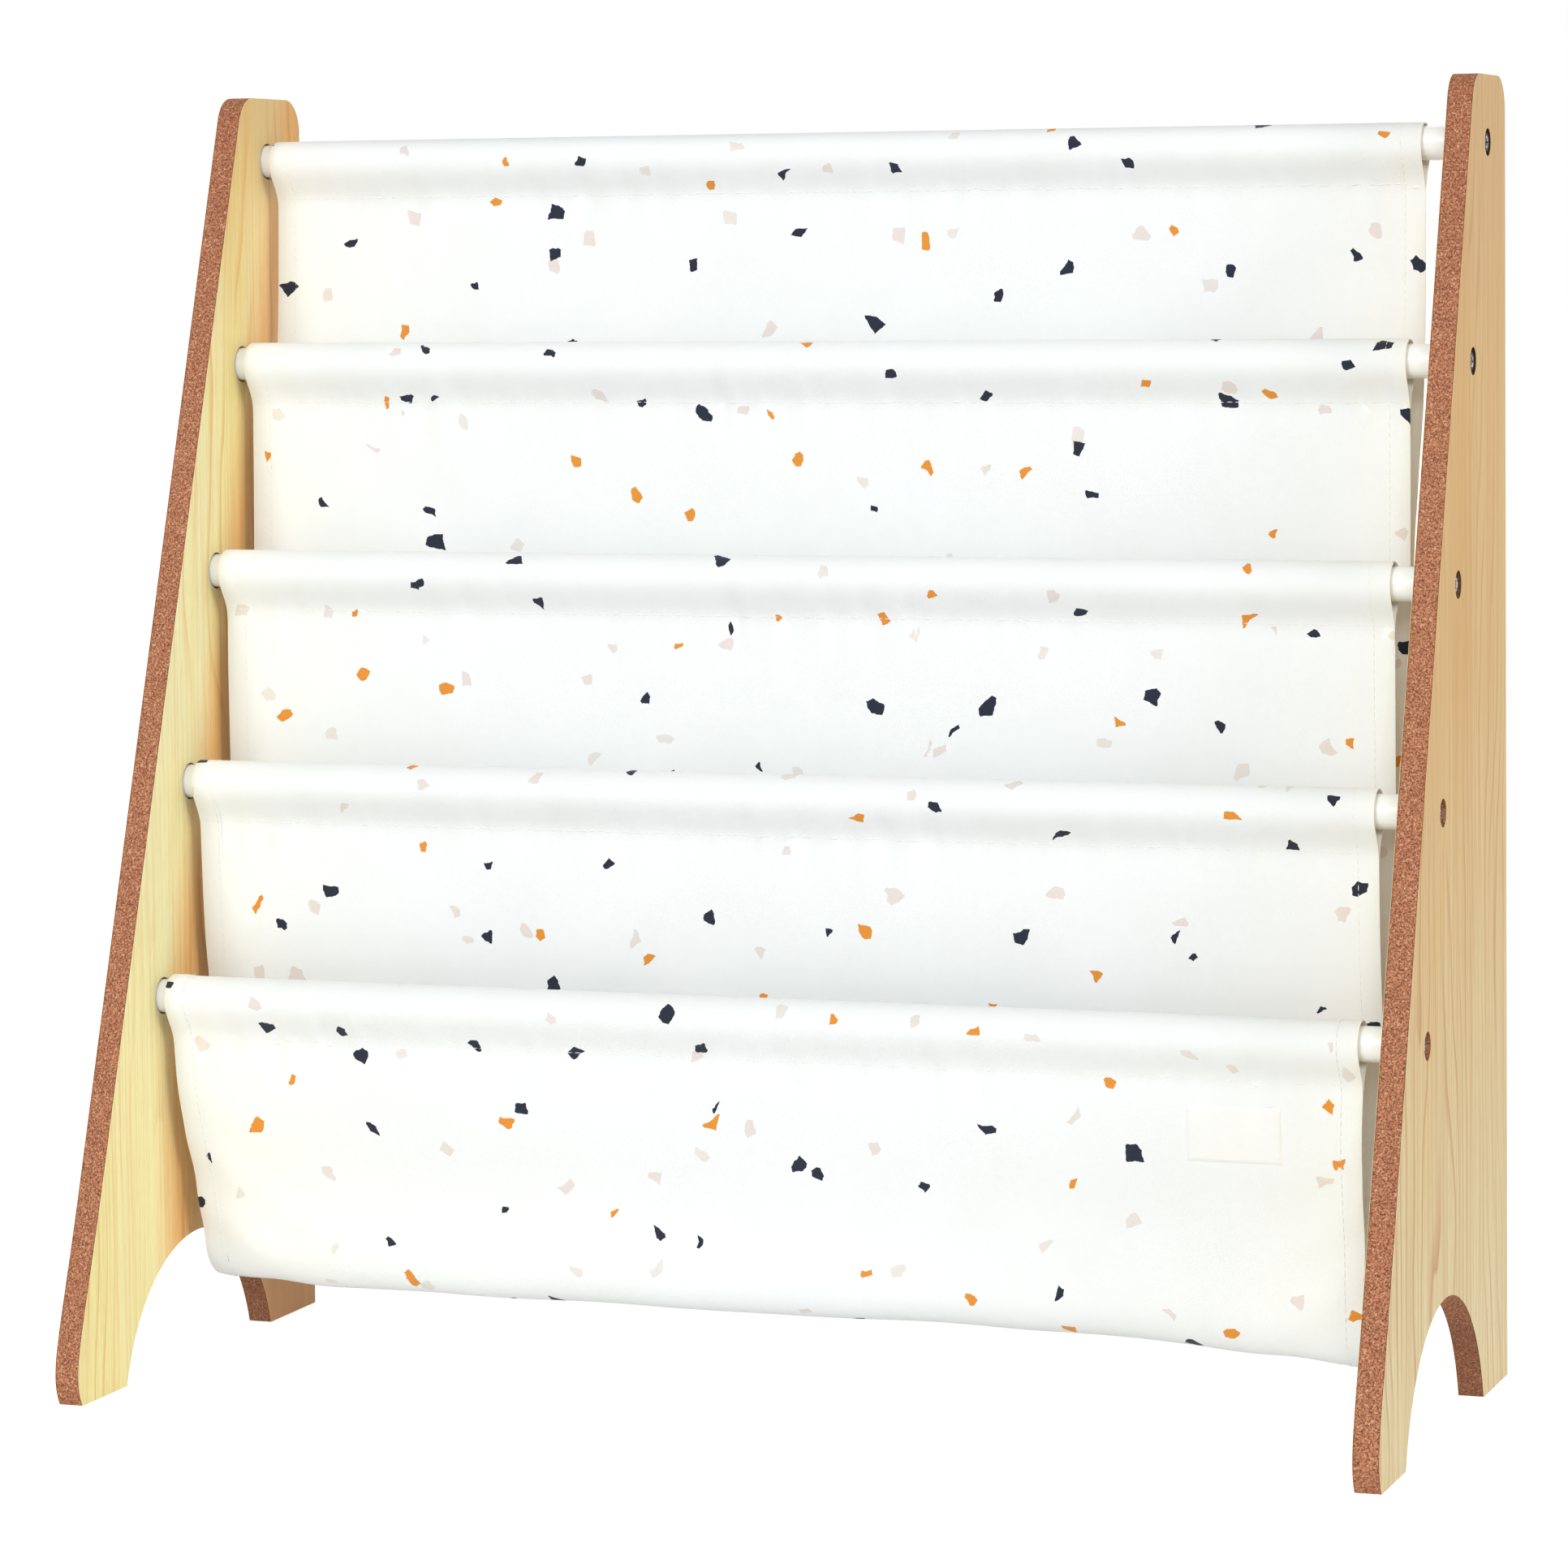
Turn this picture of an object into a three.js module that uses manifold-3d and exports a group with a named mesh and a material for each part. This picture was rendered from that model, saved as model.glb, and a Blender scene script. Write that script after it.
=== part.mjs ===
// Sling bookshelf for children: two leaning-front side panels, five tubes bolted between them,
// and one sewn cloth that hangs from the tubes in four book pockets.
// Millimetres, +Z up. X runs along the tubes, -Y is the front. The origin lies on the floor,
// midway between the panels and midway between their foremost and rearmost points.

import * as THREE from "three";
import { mergeVertices } from "three/addons/utils/BufferGeometryUtils.js";
import Module from "manifold-3d";

const wasm = await Module();
wasm.setup();

// Whole object
const overallWidth = 627;
const seatGap = 0.3;
const cutOverrun = 1;
const roundSides = 24;

// Side panels
const panelHeight = 610;
const panelDepth = 264;
const panelThickness = 12;
const topWidth = 66;
const frontSetbackShare = 1 / 3;
const frontCornerRadius = 16;
const backCornerRadius = 16;
const toeStartHeight = 100;
const toeBendHeight = 30;
const toeBulge = 6.6;
const toeBulgeHeight = 17;
const toeTuck = 4;
const frontFootLength = 46;
const backFootLength = 53;
const archRise = 61;

// Tubes, counted from the top
const tubeCount = 5;
const tubeDiameter = 16;
const tubeWall = 1;
const topTubeBelowTop = 31;
const lowTubeHeight = 179.4;
const topTubeFromBack = 38;
const lowTubeFromBack = 168.8;
const tubeSocketClearance = 0.8;
const tubeSocketDepth = 4;

// End plugs in the tubes
const plugLength = 30;
const plugFlangeThickness = 1.2;
const plugFlangeLip = 0.4;

// Bolts through the panels
const boltDiameter = 6;
const boltLength = 28;
const boltHoleClearance = 0.4;
const headDiameter = 11.5;
const headHeight = 3;
const headCrownShare = 0.72;
const hexAcrossCorners = 4.6;
const hexDepth = 1.8;
const counterboreDiameter = 13;
const counterboreDepth = 5;

// Cloth
const clothThickness = 1.2;
const clothLayerGap = 0.5;
const clothLeftGap = 5.5;
const clothRightGap = 17;
const sleeveSlack = 1.2;
const seamDrop = 18.5;
const seamAllowance = 2.5;
const pocketDrop = 144;
const leftHemLift = 3.5;
const rightHemSag = 9;
const hemRiseFade = 1.4;
const hemPull = 5;
const hemReach = 150;
const endFlattenShare = 0.5;
const bellyPlaceShares = [0.3, 0.55, 0.86, 1.09];
const bellyRadiusShares = [0.29, 0.31, 0.33, 0.67];
const wallSteps = 6;
const bellySteps = 8;
const clothStationShares = [0, 0.03, 0.08, 0.15, 0.26, 0.5, 0.74, 0.85, 0.92, 0.97, 1];

// Sewn label, left bare
const labelWidth = 44;
const labelHeight = 26;
const labelThickness = 0.6;
const labelBelowSeam = 9;
const labelFromRightEdge = 37;
const labelSteps = 4;

// Places worked out from the sizes above
const backY = panelDepth / 2;
const outerX = overallWidth / 2;
const innerX = outerX - panelThickness;
const topTubeHeight = panelHeight - topTubeBelowTop;
const tubeStepDown = (topTubeHeight - lowTubeHeight) / (tubeCount - 1);
const tubeStepForward = (lowTubeFromBack - topTubeFromBack) / (tubeCount - 1);
const tubeRadius = tubeDiameter / 2;
const socketRadius = tubeRadius + tubeSocketClearance;
const socketFloorX = innerX + tubeSocketDepth;
const flangeX = socketFloorX - seatGap;
const tubeEndX = flangeX - plugFlangeThickness - seatGap;
const clothLeftX = -innerX + clothLeftGap;
const clothRightX = innerX - clothRightGap;
const layerOffset = (clothThickness + clothLayerGap) / 2;
const seamBottom = seamDrop + seamAllowance;

const wood = new THREE.MeshStandardMaterial({ color: 0xe6cb8f, roughness: 0.55, metalness: 0 });
const whitePaint = new THREE.MeshStandardMaterial({ color: 0xf2f2f0, roughness: 0.35, metalness: 0.1 });
const steel = new THREE.MeshStandardMaterial({ color: 0x5c5e62, roughness: 0.35, metalness: 1 });
const plastic = new THREE.MeshStandardMaterial({ color: 0xe8e8e6, roughness: 0.6, metalness: 0 });
const cloth = new THREE.MeshStandardMaterial({ color: 0xf4f2ec, roughness: 0.95, metalness: 0 });
const labelCloth = new THREE.MeshStandardMaterial({ color: 0xfaf9f5, roughness: 0.9, metalness: 0 });

const bookshelf = new THREE.Group();

function addPiece(name, geometry, material) {
  const piece = new THREE.Mesh(geometry, material);
  piece.name = name;
  bookshelf.add(piece);
  return piece;
}

// Closed solids for cutting and joining
function toSolid(geometry) {
  const bare = geometry.clone();
  bare.deleteAttribute("normal");
  bare.deleteAttribute("uv");
  const merged = mergeVertices(bare);
  return new wasm.Manifold(
    new wasm.Mesh({
      numProp: 3,
      vertProperties: new Float32Array(merged.attributes.position.array),
      triVerts: new Uint32Array(merged.index.array),
    }),
  );
}

function toGeometry(solid) {
  const mesh = solid.getMesh();
  const geometry = new THREE.BufferGeometry();
  geometry.setAttribute("position", new THREE.BufferAttribute(mesh.vertProperties, 3));
  geometry.setIndex(new THREE.BufferAttribute(mesh.triVerts, 1));
  return geometry;
}

// A flat outline drawn in (y, z) becomes a solid from startX to endX.
function extrudeAlongX(shape, startX, endX, curveSegments) {
  const settings = { depth: endX - startX, bevelEnabled: false, curveSegments };
  const geometry = new THREE.ExtrudeGeometry(shape, settings);
  const turn = new THREE.Matrix4().makeBasis(
    new THREE.Vector3(0, 1, 0),
    new THREE.Vector3(0, 0, 1),
    new THREE.Vector3(1, 0, 0),
  );
  geometry.applyMatrix4(turn);
  geometry.translate(startX, 0, 0);
  return geometry;
}

// A profile of [radius, x] points is turned about the X axis.
function turnAboutX(profile) {
  const points = profile.map(([radius, x]) => new THREE.Vector2(radius, x));
  const geometry = new THREE.LatheGeometry(points, roundSides);
  geometry.rotateZ(-Math.PI / 2);
  return geometry;
}

function roundCutter(radius, startX, endX) {
  return turnAboutX([
    [0, startX],
    [radius, startX],
    [radius, endX],
    [0, endX],
  ]);
}

function tubePlace(index) {
  return {
    y: backY - topTubeFromBack - index * tubeStepForward,
    z: topTubeHeight - index * tubeStepDown,
  };
}

// Height z on the straight part of the front edge gives its y.
function frontEdgeY(z) {
  return backY - topWidth - (panelHeight - z) * frontSetbackShare;
}

// The outline runs round from the toe: front foot, arch, back foot, back edge, top, front edge.
function panelOutline() {
  const toeY = -backY + toeTuck;
  const archFrontY = toeY + frontFootLength;
  const archBackY = backY - backFootLength;
  const archHalf = (archBackY - archFrontY) / 2;
  const archMiddleY = (archBackY + archFrontY) / 2;
  const archRadius = (archHalf * archHalf + archRise * archRise) / (2 * archRise);
  const archCentreZ = archRise - archRadius;
  const springAngle = Math.atan2(-archCentreZ, archHalf);
  const lean = Math.atan(frontSetbackShare);
  const frontCornerY = frontEdgeY(panelHeight) + frontCornerRadius * Math.tan((Math.PI / 2 - lean) / 2);
  const outline = new THREE.Shape();
  outline.moveTo(toeY, 0);
  outline.lineTo(archFrontY, 0);
  outline.absarc(archMiddleY, archCentreZ, archRadius, Math.PI - springAngle, springAngle, true);
  outline.lineTo(archBackY, 0);
  outline.lineTo(backY, 0);
  outline.lineTo(backY, panelHeight - backCornerRadius);
  outline.absarc(
    backY - backCornerRadius,
    panelHeight - backCornerRadius,
    backCornerRadius,
    0,
    Math.PI / 2,
    false,
  );
  outline.lineTo(frontCornerY, panelHeight);
  outline.absarc(
    frontCornerY,
    panelHeight - frontCornerRadius,
    frontCornerRadius,
    Math.PI / 2,
    Math.PI - lean,
    false,
  );
  outline.lineTo(frontEdgeY(toeStartHeight), toeStartHeight);
  outline.bezierCurveTo(
    frontEdgeY(toeBendHeight),
    toeBendHeight,
    -backY - toeBulge,
    toeBulgeHeight,
    toeY,
    0,
  );
  return outline;
}

// Each tube has a socket in the inner face, a bolt hole and a counterbore in the outer face.
function boreCutters(index) {
  const { y, z } = tubePlace(index);
  const holeRadius = boltDiameter / 2 + boltHoleClearance;
  const cutters = [
    roundCutter(socketRadius, innerX - cutOverrun, socketFloorX),
    roundCutter(holeRadius, innerX - cutOverrun, outerX + cutOverrun),
    roundCutter(counterboreDiameter / 2, outerX - counterboreDepth, outerX + cutOverrun),
  ];
  return cutters.map((cutter) => toSolid(cutter.translate(0, y, z)));
}

function sidePanel() {
  let panel = toSolid(extrudeAlongX(panelOutline(), innerX, outerX, roundSides));
  for (let index = 0; index < tubeCount; index += 1) {
    for (const cutter of boreCutters(index)) {
      panel = panel.subtract(cutter);
    }
  }
  return toGeometry(panel);
}

function tube() {
  const bore = tubeRadius - tubeWall;
  return turnAboutX([
    [bore, -tubeEndX],
    [tubeRadius, -tubeEndX],
    [tubeRadius, tubeEndX],
    [bore, tubeEndX],
    [bore, -tubeEndX],
  ]);
}

// A plug has a flange over the tube's end and a bore that the bolt screws into.
function endPlug() {
  const bodyRadius = tubeRadius - tubeWall - seatGap;
  const flangeRadius = tubeRadius - plugFlangeLip;
  const bore = boltDiameter / 2 + seatGap;
  const shoulderX = flangeX - plugFlangeThickness;
  const tipX = flangeX - plugLength;
  return turnAboutX([
    [bore, tipX],
    [bodyRadius, tipX],
    [bodyRadius, shoulderX],
    [flangeRadius, shoulderX],
    [flangeRadius, flangeX],
    [bore, flangeX],
    [bore, tipX],
  ]);
}

// A crowned bolt head with a hexagon socket sits at the bottom of its counterbore.
function bolt() {
  const seatX = outerX - counterboreDepth + seatGap;
  const topX = seatX + headHeight;
  const shankRadius = boltDiameter / 2;
  const headRadius = headDiameter / 2;
  const blank = turnAboutX([
    [0, seatX - boltLength],
    [shankRadius, seatX - boltLength],
    [shankRadius, seatX],
    [headRadius, seatX],
    [headRadius, seatX + headHeight / 2],
    [headRadius * headCrownShare, topX],
    [0, topX],
  ]);
  const hexRadius = hexAcrossCorners / 2;
  const hex = new THREE.CylinderGeometry(hexRadius, hexRadius, hexDepth + cutOverrun, 6);
  hex.rotateZ(-Math.PI / 2);
  hex.translate(topX + (cutOverrun - hexDepth) / 2, 0, 0);
  return toGeometry(toSolid(blank).subtract(toSolid(hex)));
}

// The angle on a circle, seen from its centre, where a line from the point (a, -b) just touches it
function touchAngle(radius, a, b) {
  return Math.atan2(-b, a) + Math.acos(radius / Math.hypot(a, b));
}

// A loop of cloth round a tube, drawn in to a flat tail below it
function teardrop(path, radius, centreZ, tailHalf, tailZ) {
  const angle = touchAngle(radius, tailHalf, centreZ - tailZ);
  path.moveTo(tailHalf, tailZ);
  path.absarc(0, centreZ, radius, angle, Math.PI - angle, false);
  path.lineTo(-tailHalf, tailZ);
  path.closePath();
  return path;
}

// The loop rests on top of its tube, and its two layers are sewn together at the seam.
function sleeve() {
  const innerRadius = tubeRadius + sleeveSlack;
  const centreZ = tubeRadius + seatGap - innerRadius;
  const tailHalf = layerOffset + clothThickness / 2;
  const outline = teardrop(
    new THREE.Shape(),
    innerRadius + clothThickness,
    centreZ,
    tailHalf,
    -seamBottom,
  );
  outline.holes.push(teardrop(new THREE.Path(), innerRadius, centreZ, clothLayerGap / 2, -seamDrop));
  return extrudeAlongX(outline, clothLeftX, clothRightX, wallSteps);
}

// The two seams that a pocket hangs from, its belly's centre and radius, all in (y, z). The lowest
// pocket's front wall runs on into the front of its sleeve, whose end is sewn down inside the pocket.
function pocketPlan(index) {
  const upper = tubePlace(index);
  const lower = tubePlace(index + 1);
  const frontOffset = index === tubeCount - 2 ? -layerOffset : layerOffset;
  const radius = tubeStepForward * bellyRadiusShares[index] - clothThickness / 2;
  return {
    radius,
    frontSeam: new THREE.Vector2(lower.y + frontOffset, lower.z - seamBottom - seatGap),
    backSeam: new THREE.Vector2(upper.y - layerOffset, upper.z - seamBottom - seatGap),
    belly: new THREE.Vector2(
      lower.y + tubeStepForward * bellyPlaceShares[index],
      lower.z - pocketDrop + clothThickness / 2 + radius,
    ),
  };
}

// A pocket wall leaves its seam straight down and meets the belly straight down.
function wallCurve(seam, foot) {
  const middleZ = (seam.y + foot.y) / 2;
  return new THREE.CubicBezierCurve(
    seam,
    new THREE.Vector2(seam.x, middleZ),
    new THREE.Vector2(foot.x, middleZ),
    foot,
  );
}

function frontWall(plan) {
  return wallCurve(plan.frontSeam, new THREE.Vector2(plan.belly.x - plan.radius, plan.belly.y));
}

function backWall(plan) {
  return wallCurve(plan.backSeam, new THREE.Vector2(plan.belly.x + plan.radius, plan.belly.y));
}

// The middle line of a pocket's cloth: down the front wall, round the belly, up the back wall
function pocketLine(plan) {
  const belly = new THREE.EllipseCurve(
    plan.belly.x,
    plan.belly.y,
    plan.radius,
    plan.radius,
    Math.PI,
    2 * Math.PI,
    false,
  );
  return [
    ...frontWall(plan).getPoints(wallSteps),
    ...belly.getPoints(bellySteps).slice(1, -1),
    ...backWall(plan).getPoints(wallSteps).reverse(),
  ];
}

// A line of points moved sideways by a distance, to the left of its direction if positive
function offsetLine(points, distance) {
  return points.map((point, index) => {
    const before = points[Math.max(index - 1, 0)];
    const after = points[Math.min(index + 1, points.length - 1)];
    const along = new THREE.Vector2().subVectors(after, before).normalize();
    return new THREE.Vector2(point.x - along.y * distance, point.y + along.x * distance);
  });
}

// The hems draw the ends of a pocket in and together. They lift the left end and let the right end sag.
function drawnByHem(x, y, z, plan) {
  const isLeft = x < (clothLeftX + clothRightX) / 2;
  const fromEnd = Math.min(x - clothLeftX, clothRightX - x);
  const nearEnd = Math.max(0, 1 - fromEnd / hemReach);
  const lowest = plan.belly.y - plan.radius;
  const depth = Math.min(1, Math.max(0, (plan.frontSeam.y - z) / (plan.frontSeam.y - lowest)));
  const pull = hemPull * nearEnd ** 2 * depth;
  const flatten = endFlattenShare * nearEnd ** 2 * depth ** 3;
  const rise = (isLeft ? leftHemLift : -rightHemSag) * nearEnd ** hemRiseFade * depth ** 2;
  return [x + (isLeft ? pull : -pull), y + (plan.belly.x - y) * flatten, z + rise];
}

// The band of cloth between two sides of its middle line, in sections along X
function pocket(index) {
  const plan = pocketPlan(index);
  const line = pocketLine(plan);
  const section = [
    ...offsetLine(line, -clothThickness / 2),
    ...offsetLine(line, clothThickness / 2).reverse(),
  ];
  const around = section.length;
  const positions = clothStationShares.flatMap((share) => {
    const x = clothLeftX + share * (clothRightX - clothLeftX);
    return section.flatMap((point) => drawnByHem(x, point.x, point.y, plan));
  });
  const faces = [];
  const lastStation = (clothStationShares.length - 1) * around;
  for (let start = 0; start < lastStation; start += around) {
    for (let here = 0; here < around; here += 1) {
      const next = (here + 1) % around;
      faces.push(start + here, start + next, start + around + next);
      faces.push(start + here, start + around + next, start + around + here);
    }
  }
  for (let here = 0; here < line.length - 1; here += 1) {
    const across = around - 1 - here;
    faces.push(here, across, across - 1, here, across - 1, here + 1);
    faces.push(lastStation + here, lastStation + across - 1, lastStation + across);
    faces.push(lastStation + here, lastStation + here + 1, lastStation + across - 1);
  }
  const geometry = new THREE.BufferGeometry();
  geometry.setAttribute("position", new THREE.Float32BufferAttribute(positions, 3));
  geometry.setIndex(faces);
  return geometry;
}

// The label lies on the lowest pocket's front wall and follows its curve.
function label() {
  const plan = pocketPlan(tubeCount - 2);
  const wall = frontWall(plan);
  const startShare = labelBelowSeam / wall.getLength();
  const endShare = startShare + labelHeight / wall.getLength();
  const line = [];
  for (let step = 0; step <= labelSteps; step += 1) {
    line.push(wall.getPointAt(startShare + ((endShare - startShare) * step) / labelSteps));
  }
  const near = clothThickness / 2 + seatGap;
  const outline = new THREE.Shape([
    ...offsetLine(line, -near),
    ...offsetLine(line, -near - labelThickness).reverse(),
  ]);
  const endX = clothRightX - labelFromRightEdge;
  const tape = extrudeAlongX(outline, endX - labelWidth, endX, 1);
  const places = tape.attributes.position;
  for (let corner = 0; corner < places.count; corner += 1) {
    const place = new THREE.Vector3().fromBufferAttribute(places, corner);
    places.setXYZ(corner, ...drawnByHem(place.x, place.y, place.z, plan));
  }
  return tape;
}

// A left-hand piece is the right-hand one turned about the vertical middle plane, faces kept outward.
function mirrored(geometry) {
  const mirror = geometry.index ? geometry.toNonIndexed() : geometry.clone();
  const places = mirror.attributes.position;
  for (let corner = 0; corner < places.count; corner += 3) {
    const second = new THREE.Vector3().fromBufferAttribute(places, corner + 1);
    const third = new THREE.Vector3().fromBufferAttribute(places, corner + 2);
    places.setX(corner, -places.getX(corner));
    places.setXYZ(corner + 1, -third.x, third.y, third.z);
    places.setXYZ(corner + 2, -second.x, second.y, second.z);
  }
  return mirror;
}

const panelShape = sidePanel();
addPiece("side_panel_right", panelShape, wood);
addPiece("side_panel_left", mirrored(panelShape), wood);

const tubeShape = tube();
const plugShape = endPlug();
const boltShape = bolt();
const sleeveShape = sleeve();
for (let index = 0; index < tubeCount; index += 1) {
  const { y, z } = tubePlace(index);
  const number = index + 1;
  addPiece(`tube_${number}`, tubeShape, whitePaint).position.set(0, y, z);
  addPiece(`sling_sleeve_${number}`, sleeveShape, cloth).position.set(0, y, z);
  addPiece(`end_plug_right_${number}`, plugShape, plastic).position.set(0, y, z);
  addPiece(`end_plug_left_${number}`, mirrored(plugShape), plastic).position.set(0, y, z);
  addPiece(`bolt_right_${number}`, boltShape, steel).position.set(0, y, z);
  addPiece(`bolt_left_${number}`, mirrored(boltShape), steel).position.set(0, y, z);
}
for (let index = 0; index < tubeCount - 1; index += 1) {
  addPiece(`sling_pocket_${index + 1}`, pocket(index), cloth);
}
addPiece("sling_label", label(), labelCloth);

export default bookshelf;
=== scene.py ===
import math

import bmesh
import bpy
import numpy as np
from mathutils import Matrix, Vector


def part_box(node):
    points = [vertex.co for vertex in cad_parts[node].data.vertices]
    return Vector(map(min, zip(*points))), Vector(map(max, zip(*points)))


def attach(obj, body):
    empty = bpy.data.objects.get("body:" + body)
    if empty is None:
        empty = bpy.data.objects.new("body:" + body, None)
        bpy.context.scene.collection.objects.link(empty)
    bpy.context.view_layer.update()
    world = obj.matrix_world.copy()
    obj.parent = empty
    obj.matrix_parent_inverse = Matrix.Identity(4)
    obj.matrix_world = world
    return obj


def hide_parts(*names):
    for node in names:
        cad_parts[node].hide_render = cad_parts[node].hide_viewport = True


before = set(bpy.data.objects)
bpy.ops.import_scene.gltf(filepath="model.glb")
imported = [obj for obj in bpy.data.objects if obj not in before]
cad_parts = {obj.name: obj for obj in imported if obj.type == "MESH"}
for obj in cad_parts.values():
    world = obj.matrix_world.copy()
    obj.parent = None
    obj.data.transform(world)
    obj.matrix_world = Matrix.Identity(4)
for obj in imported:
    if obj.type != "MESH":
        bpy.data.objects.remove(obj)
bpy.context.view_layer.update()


# The view: a long lens about 2.5 m away, at tube height, a little to the right of the shelf. The lens is
# shifted, so that the camera stands level with the middle while the shelf fills the frame.
IMAGE_PIXELS = 1932
LENS_PIXELS = 6646.1
VIEW_PLACE = (0.8340, -2.3555, 0.5272)
VIEW_YAW = math.radians(19.300)
VIEW_PITCH = math.radians(3.016)
VIEW_ROLL = math.radians(-0.516)
VIEW_MIDDLE_PIXEL = (983.8, 672.0)
FILM_WIDTH = 36.0

ahead = Vector((
    -math.sin(VIEW_YAW) * math.cos(VIEW_PITCH),
    math.cos(VIEW_YAW) * math.cos(VIEW_PITCH),
    -math.sin(VIEW_PITCH),
))
level_right = Vector((math.cos(VIEW_YAW), math.sin(VIEW_YAW), 0.0))
level_up = level_right.cross(ahead)
rolled_right = math.cos(VIEW_ROLL) * level_right + math.sin(VIEW_ROLL) * level_up
rolled_up = math.cos(VIEW_ROLL) * level_up - math.sin(VIEW_ROLL) * level_right
view_turn = Matrix((rolled_right, rolled_up, -ahead)).transposed().to_4x4()

lens = bpy.data.cameras.new("view")
lens.sensor_width = FILM_WIDTH
lens.lens = LENS_PIXELS / IMAGE_PIXELS * FILM_WIDTH
lens.shift_x = 0.5 - VIEW_MIDDLE_PIXEL[0] / IMAGE_PIXELS
lens.shift_y = VIEW_MIDDLE_PIXEL[1] / IMAGE_PIXELS - 0.5
lens.clip_end = 100.0
camera = bpy.data.objects.new("view", lens)
camera.matrix_world = Matrix.Translation(VIEW_PLACE) @ view_turn
bpy.context.scene.collection.objects.link(camera)
bpy.context.scene.camera = camera


# The room: a pale floor that runs out of sight, an even white sky, two broad soft lamps high in front, and
# weaker ones at the right and behind. Seen directly, sky and open floor are white, and the floor keeps the
# shelf's shadow.
SKY_LIGHT = 0.34
LAMPS = (
    ("left_lamp", (-0.28, -1.0, 0.42), 0.91),
    ("right_lamp", (0.30, -1.0, 0.42), 0.98),
    ("side_lamp", (1.0, -0.30, 0.32), 0.54),
    ("back_lamp", (-0.45, 1.0, 0.55), 0.45),
)
LAMP_SOFTNESS = math.radians(18)
FLOOR_HALF = 30.0
FLOOR_DROP = 0.0002
FLOOR_GLOW_SHARE = 0.62
FLOOR_GLOW = 1.42


class Socket:
    """A socket in one node tree. Arithmetic on it adds Math nodes, and node() adds any other node."""

    def __init__(self, tree, link=None):
        self.tree = tree
        self.link = link

    def node(self, kind, settings=None, values=None, output=0):
        """Adds a node: settings first, then the values or links of its sockets. Gives back one output."""
        made = self.tree.nodes.new(kind)
        for name, value in (settings or {}).items():
            setattr(made, name, value)
        for name, value in (values or {}).items():
            if isinstance(value, Socket):
                self.tree.links.new(value.link, made.inputs[name])
            else:
                made.inputs[name].default_value = value
        return Socket(self.tree, made.outputs[output])

    def math(self, operation, first, second=0.0):
        return self.node("ShaderNodeMath", {"operation": operation}, {0: first, 1: second})

    def __add__(self, other):
        return self.math("ADD", self, other)

    __radd__ = __add__

    def __sub__(self, other):
        return self.math("SUBTRACT", self, other)

    def __rsub__(self, other):
        return self.math("SUBTRACT", other, self)

    def __mul__(self, other):
        return self.math("MULTIPLY", self, other)

    __rmul__ = __mul__

    def __gt__(self, other):
        return self.math("GREATER_THAN", self, other)

    def __lt__(self, other):
        return self.math("LESS_THAN", self, other)

    def __abs__(self):
        return self.math("ABSOLUTE", self)

    def ramp(self, low, high):
        """0 where this value is at low or less, 1 at high or more, and straight between."""
        return self.node("ShaderNodeMapRange", None, {0: self, 1: low, 2: high})

    def between(self, first, second):
        """The first colour where this value is 0, and the second where it is 1."""
        return self.node("ShaderNodeMix", {"data_type": "RGBA"}, {0: self, 6: first, 7: second}, output=2)

    def scaled(self, x, y, z):
        """This vector with its parts multiplied by x, y and z."""
        return self.node("ShaderNodeVectorMath", {"operation": "MULTIPLY"}, {0: self, 1: (x, y, z)})

    def part(self, index):
        """One part of this vector, 0 to 2."""
        return self.node("ShaderNodeSeparateXYZ", None, {0: self}, output=index)

    def noise(self, scale, detail=2.0, roughness=0.5):
        """Soft noise from 0 to 1 over this vector, with scale cells to the metre."""
        return self.node("ShaderNodeTexNoise", None, {"Vector": self, "Scale": scale, "Detail": detail,
                                                      "Roughness": roughness})


def paint(red, green, blue):
    """A colour given in screen values of 0 to 255, as the linear light that a shader takes."""
    shares = [value / 255 for value in (red, green, blue)]
    linear = [share / 12.92 if share <= 0.04045 else ((share + 0.055) / 1.055) ** 2.4 for share in shares]
    return (*linear, 1.0)


def seen_directly(tree):
    """1 for what is seen by the camera, in a mirror or through glass, and 0 for what only gives light."""
    seen = tree.node("ShaderNodeLightPath", output="Is Camera Ray")
    mirrored = tree.node("ShaderNodeLightPath", output="Is Glossy Ray")
    through = tree.node("ShaderNodeLightPath", output="Is Transmission Ray")
    return (seen + mirrored + through) > 0.5


world = bpy.data.worlds.new("sky")
world.use_nodes = True
sky = Socket(world.node_tree)
sky_strength = SKY_LIGHT + seen_directly(sky) * (1.0 - SKY_LIGHT)
world.node_tree.nodes["Background"].inputs["Color"].default_value = (1, 1, 1, 1)
world.node_tree.links.new(sky_strength.link, world.node_tree.nodes["Background"].inputs["Strength"])
bpy.context.scene.world = world
bpy.context.scene.view_settings.view_transform = "Standard"

for name, shines_from, strength in LAMPS:
    lamp = bpy.data.lights.new(name, "SUN")
    lamp.energy = strength
    lamp.angle = LAMP_SOFTNESS
    lamp_object = bpy.data.objects.new(name, lamp)
    lamp_object.rotation_euler = Vector(shines_from).to_track_quat("Z", "Y").to_euler()
    bpy.context.scene.collection.objects.link(lamp_object)

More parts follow.
